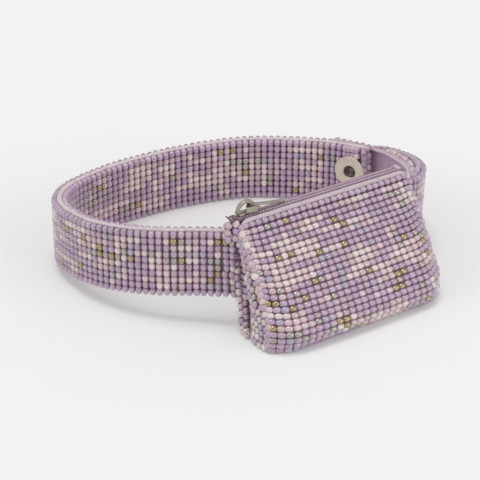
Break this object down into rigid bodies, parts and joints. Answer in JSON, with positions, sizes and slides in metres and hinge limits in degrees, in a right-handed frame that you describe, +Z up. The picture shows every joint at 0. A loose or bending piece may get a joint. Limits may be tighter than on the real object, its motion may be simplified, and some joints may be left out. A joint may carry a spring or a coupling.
{
  "type": "beaded wristlet",
  "caption": "Small wedge-shaped zip pouch woven from seed beads, on a beaded wrist strap that closes with a press-stud.",
  "frame": {"origin": "middle of the flat base of the pouch, on the plane that the wristlet stands on", "axes": "+X along the zip from its closed end with the slider to its other end, +Y from the pouch's beaded front through the wrist loop, +Z up"},
  "size_m": [0.1562, 0.1407, 0.0559],
  "materials": {
    "beads": "glossy opaque and lustred glass seed beads, mostly lilac",
    "lining": "matt woven lilac cotton",
    "trim": "folded pale pink cotton binding",
    "coil": "dyed mauve polyester coil",
    "zip_metal": "satin nickel-plated zinc",
    "nickel": "nickel-plated pressed brass"
  },
  "bodies": {
    "pouch_and_strap": {"pouch_shell": "beads", "left_gusset": "beads", "right_gusset": "beads", "pouch_lining": "lining", "lining_left_end": "lining", "lining_right_end": "lining", "front_binding": "trim", "back_binding": "trim", "zip_tape_front": "lining", "zip_tape_back": "lining", "zip_coil_front": "coil", "zip_coil_back": "coil", "top_stop": "zip_metal", "bottom_stop": "zip_metal", "strap_band": "beads", "tab_band": "beads", "tab_lining": "lining", "snap_flange": "nickel", "snap_stud": "nickel", "snap_socket": "nickel", "snap_cap": "nickel"},
    "slider": {"zip_slider": "zip_metal"},
    "pull": {"zip_pull": "zip_metal"}
  },
  "joints": [
    {"name": "zip_slide", "type": "slide", "parent": "pouch_and_strap", "child": "slider", "axis": [1, 0, 0], "range_m": [0, 0.065]},
    {"name": "pull_swing", "type": "hinge", "parent": "slider", "child": "pull", "pos_m": [-0.0355, 0.0163, 0.0527], "axis": [0, -1, 0], "range_deg": [0, 125]}
  ]
}
